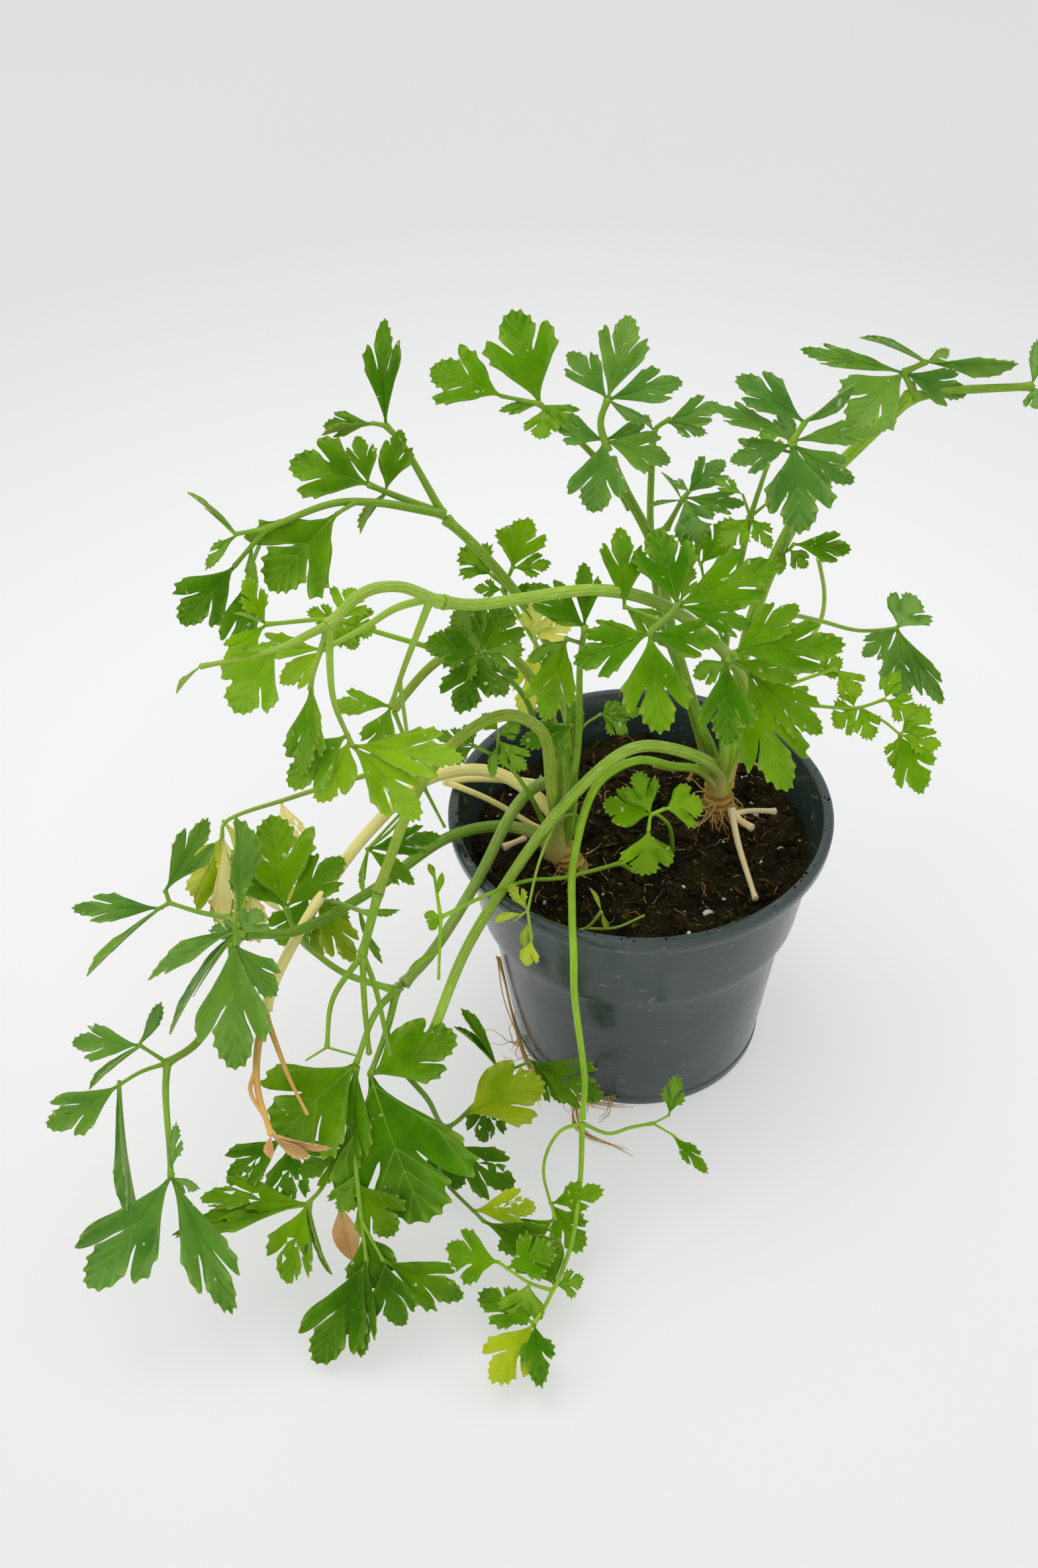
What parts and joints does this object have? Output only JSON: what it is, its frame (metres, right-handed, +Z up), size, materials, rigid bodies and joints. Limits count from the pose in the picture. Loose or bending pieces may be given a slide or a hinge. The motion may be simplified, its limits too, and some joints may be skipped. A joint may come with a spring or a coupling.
{
  "type": "potted flat-leaf parsley",
  "caption": "Leggy flat-leaf herb plant in a round nursery pot of soil, its petioles arching up and trailing over the rim to one side.",
  "frame": {"origin": "centre of the pot's flat foot, on the surface it stands on", "axes": "+Z up along the pot's axis; the plant leans over the rim towards -X and -Y, the front is -Y"},
  "size_m": [0.2837, 0.2417, 0.2638],
  "materials": {
    "pot_plastic": "satin moulded plastic",
    "crown_skin": "ringed root collar",
    "soil": "damp crumbly potting soil",
    "petiole_green": "ribbed stalk",
    "leaf_mid": "satin leaf",
    "petiole_light": "ribbed stalk",
    "leaf_light": "light leaf",
    "leaf_young": "young light leaf",
    "petiole_olive": "ribbed stalk",
    "leaf_bluish": "glossy leaf, cooler green",
    "leaf_dark": "satin leaf",
    "leaf_yellowing": "yellowing leaf",
    "petiole_cream": "blanched stalk",
    "petiole_tan": "withered stalk",
    "petiole_grey_green": "ribbed stalk with a bloom",
    "withered_straw": "dry hollow stubs",
    "root_fibre": "thin dry roots"
  },
  "bodies": {
    "root": {"pot": "pot_plastic", "root_crown_right": "crown_skin", "root_crown_left": "crown_skin", "soil": "soil", "petiole_upper_left": "petiole_green", "blade_upper_left": "leaf_mid", "petiole_long_arch": "petiole_light", "blade_long_arch": "leaf_light", "blade_left_back_small": "leaf_young", "petiole_left_mid": "petiole_olive", "petiole_top_centre": "petiole_green", "blade_top_centre": "leaf_bluish", "blade_top_left": "leaf_mid", "blade_vertical": "leaf_bluish", "blade_right_of_top": "leaf_bluish", "petiole_right_high": "petiole_olive", "blade_right_high": "leaf_bluish", "blade_right_near": "leaf_bluish", "blade_right_small": "leaf_mid", "stem_back_right": "petiole_light", "blade_back_right": "leaf_bluish", "blade_right_feathery": "leaf_young", "blade_curly_light": "leaf_young", "blade_curly_dark": "leaf_dark", "blade_yellowing": "leaf_yellowing", "blade_inner_left": "leaf_mid", "petiole_centre": "petiole_green", "blade_centre_near": "leaf_mid", "petiole_right_near": "petiole_light", "blade_right_over_rim": "leaf_mid", "blade_low_centre": "leaf_mid", "blade_low_left": "leaf_mid", "petiole_cream": "petiole_cream", "blade_cream_end": "petiole_tan", "petioles_withered_left": "petiole_cream", "petiole_olive_arch": "petiole_olive", "blade_olive_arch": "leaf_yellowing", "petiole_dark_left": "leaf_dark", "blade_dark_left": "leaf_bluish", "blade_mid_left_big": "leaf_mid", "blade_far_left_upper": "leaf_bluish", "blade_yellow_back": "leaf_yellowing", "blade_behind_olive": "leaf_mid", "blade_far_left_low": "leaf_bluish", "petiole_grey_green": "petiole_grey_green", "blade_grey_green": "leaf_mid", "blade_lower_green": "leaf_dark", "blade_holed_and_underside": "leaf_mid", "petiole_bright": "petiole_light", "blade_pot_foot": "leaf_dark", "petiole_thin_front": "leaf_young", "blade_floor_left": "leaf_young", "blade_young_sprig": "leaf_young", "blade_yellow_loops": "leaf_yellowing", "sprig_ragged": "leaf_young", "withered_stubs_right": "withered_straw", "withered_stub_left": "withered_straw", "root_loops_right": "root_fibre", "roots_from_the_foot": "root_fibre"}
  },
  "joints": []
}
